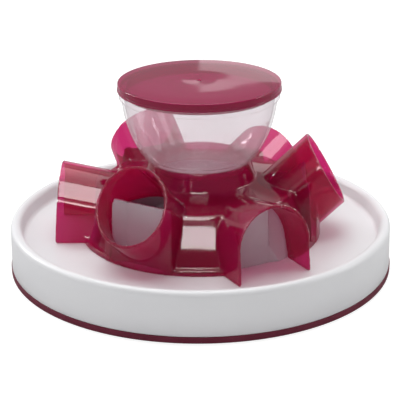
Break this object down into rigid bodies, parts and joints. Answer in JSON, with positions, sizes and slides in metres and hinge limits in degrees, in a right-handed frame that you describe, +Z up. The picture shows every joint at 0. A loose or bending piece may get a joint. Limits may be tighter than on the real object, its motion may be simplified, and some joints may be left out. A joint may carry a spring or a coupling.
{
  "type": "cat puzzle feeder",
  "caption": "Round cat puzzle feeder: a rimmed white plate on a rubber ring, a see-through tower of arched and round tunnels, and a clear lidded bowl that lifts out on top.",
  "frame": {"origin": "centre of the feeder's underside, on the floor", "axes": "+Z up, -Y towards the front, +X to the right"},
  "size_m": [0.3, 0.3, 0.148],
  "materials": {
    "rubber_ring": "soft matte rubber",
    "white_plate": "satin moulded",
    "tower_plastic": "polished see-through burgundy",
    "clear_bowl": "clear and polished",
    "lid_plastic": "polished"
  },
  "bodies": {
    "base": {"non_slip_ring": "rubber_ring", "base_plate": "white_plate", "centre_core": "white_plate"},
    "tower": {"tower_hub": "tower_plastic", "arch_tunnel_front": "tower_plastic", "arch_tunnel_left": "tower_plastic", "arch_tunnel_back": "tower_plastic", "tube_tunnel_front": "tower_plastic", "tube_tunnel_right": "tower_plastic", "tube_tunnel_back": "tower_plastic"},
    "bowl": {"bowl": "clear_bowl"},
    "lid": {"bowl_lid": "lid_plastic"}
  },
  "joints": [
    {"name": "tower_lift", "type": "slide", "parent": "base", "child": "tower", "axis": [0, 0, 1], "range_m": [0, 0.06]},
    {"name": "bowl_lift", "type": "slide", "parent": "tower", "child": "bowl", "axis": [0, 0, 1], "range_m": [0, 0.06]},
    {"name": "lid_lift", "type": "slide", "parent": "bowl", "child": "lid", "axis": [0, 0, 1], "range_m": [0, 0.05]}
  ]
}
